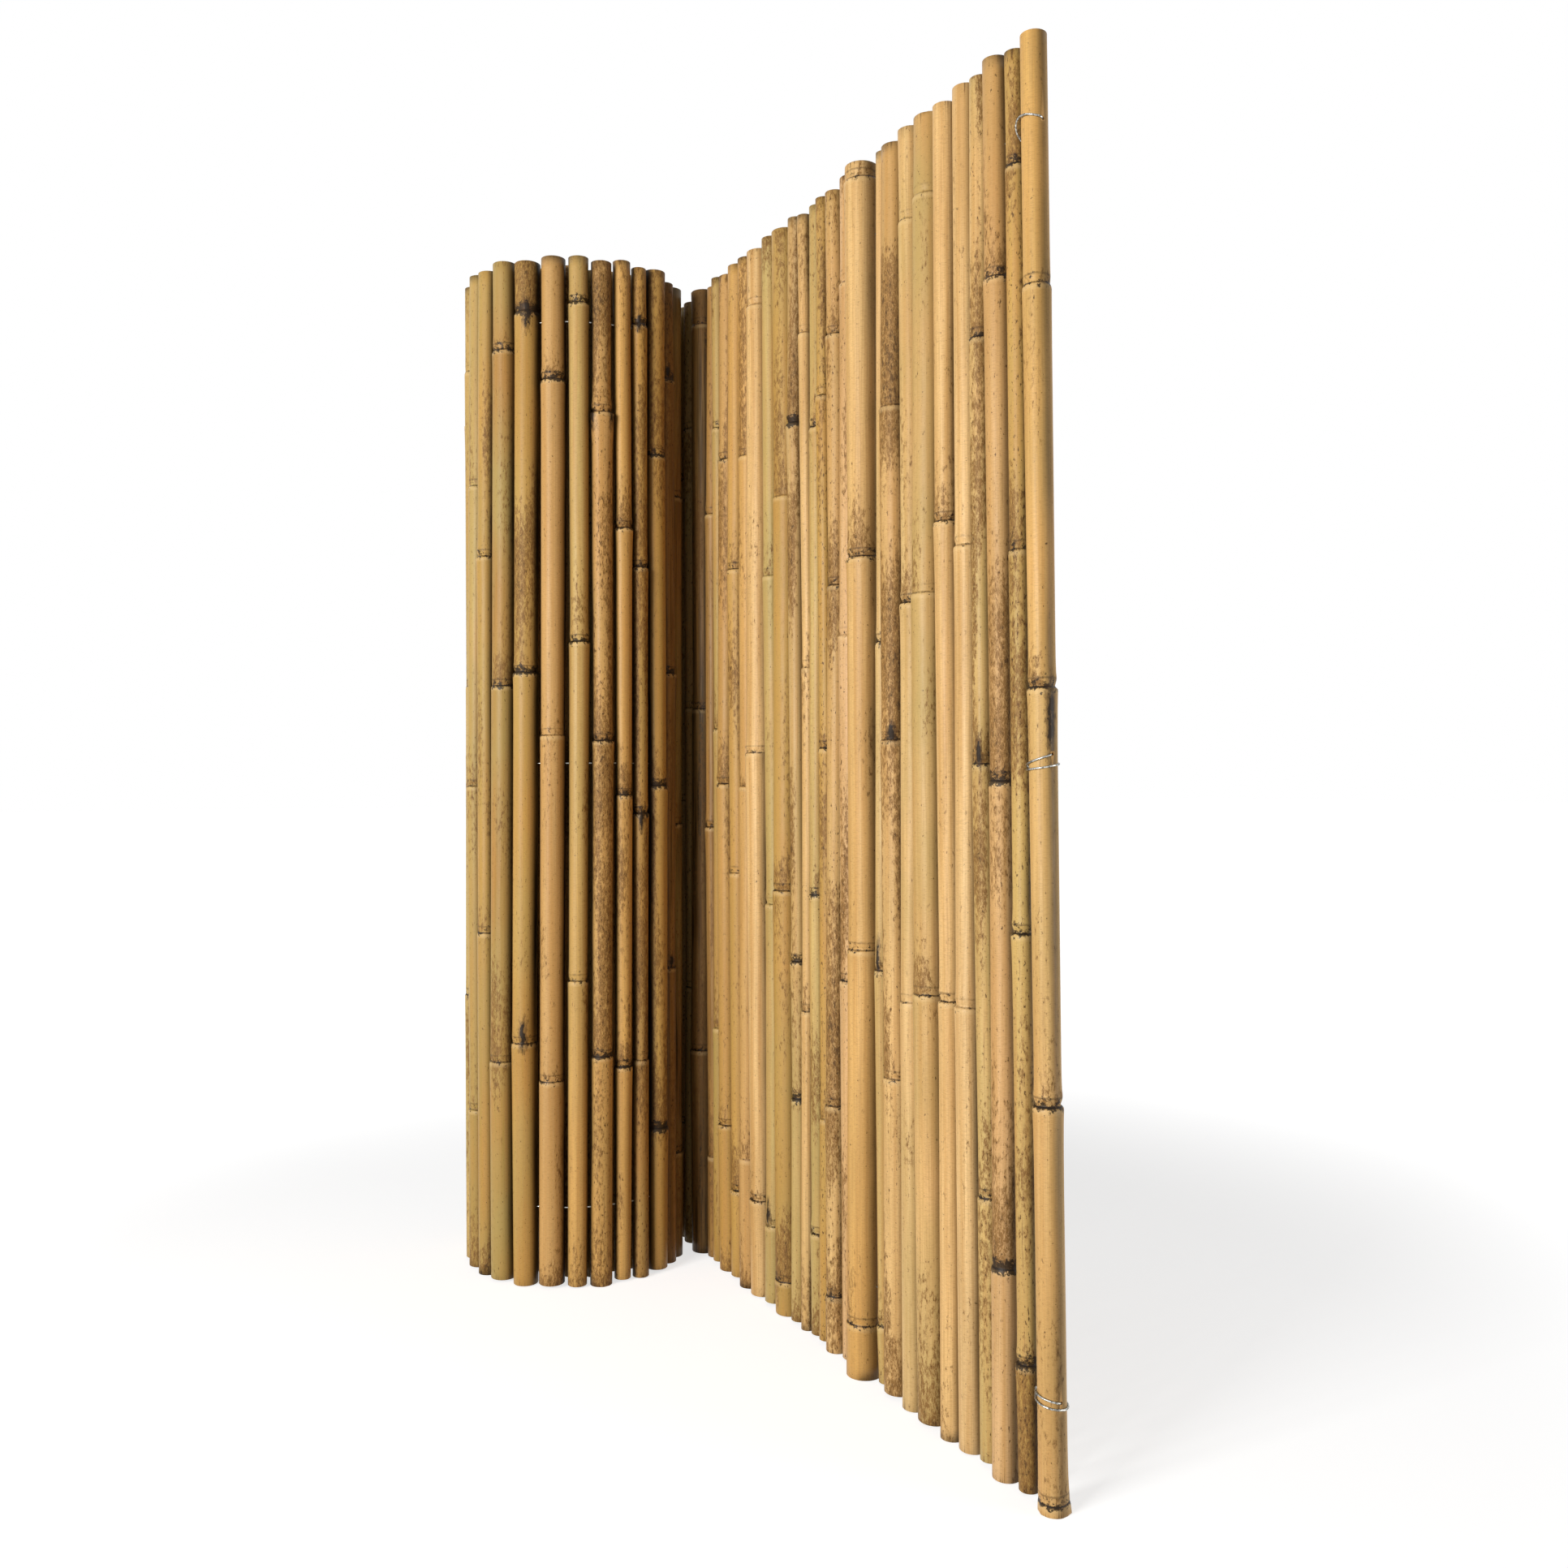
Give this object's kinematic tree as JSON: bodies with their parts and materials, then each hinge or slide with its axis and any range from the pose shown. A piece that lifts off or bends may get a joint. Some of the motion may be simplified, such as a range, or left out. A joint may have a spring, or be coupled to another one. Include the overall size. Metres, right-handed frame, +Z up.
{
  "type": "bamboo privacy fence",
  "caption": "Privacy fence of whole bamboo canes strung on galvanised wires, standing on end, half rolled up and half drawn out straight.",
  "frame": {"origin": "middle of the whole fence's footprint, on the floor that the canes stand on", "axes": "+Z up along the canes; the drawn-out sheet runs along +X to its free end, and the roll is at the -X end"},
  "size_m": [0.9474, 0.3034, 1.22],
  "materials": {
    "cane": "dried bamboo with its natural waxy skin, golden to olive, with brown node scars and mottling",
    "wire": "dull galvanised wire"
  },
  "bodies": {
    "root": {"cane_01": "cane", "cane_02": "cane", "cane_03": "cane", "cane_04": "cane", "cane_05": "cane", "cane_06": "cane", "cane_07": "cane", "cane_08": "cane", "cane_09": "cane", "cane_10": "cane", "cane_11": "cane", "cane_12": "cane", "cane_13": "cane", "cane_14": "cane", "cane_15": "cane", "cane_16": "cane", "cane_17": "cane", "cane_18": "cane", "cane_19": "cane", "cane_20": "cane", "cane_21": "cane", "cane_22": "cane", "cane_23": "cane", "cane_24": "cane", "cane_25": "cane", "cane_26": "cane", "cane_27": "cane", "cane_28": "cane", "cane_29": "cane", "inner_canes_1": "cane", "inner_canes_2": "cane", "inner_canes_3": "cane", "lower_wire": "wire", "middle_wire": "wire", "rear_canes_1": "cane", "rear_canes_2": "cane", "rear_canes_3": "cane", "rear_canes_4": "cane", "rear_canes_5": "cane", "roll_cane_01": "cane", "roll_cane_02": "cane", "roll_cane_03": "cane", "roll_cane_04": "cane", "roll_cane_05": "cane", "roll_cane_06": "cane", "roll_cane_07": "cane", "roll_cane_08": "cane", "roll_cane_09": "cane", "roll_cane_10": "cane", "roll_cane_11": "cane", "roll_cane_12": "cane", "roll_cane_13": "cane", "upper_wire": "wire"}
  },
  "joints": []
}
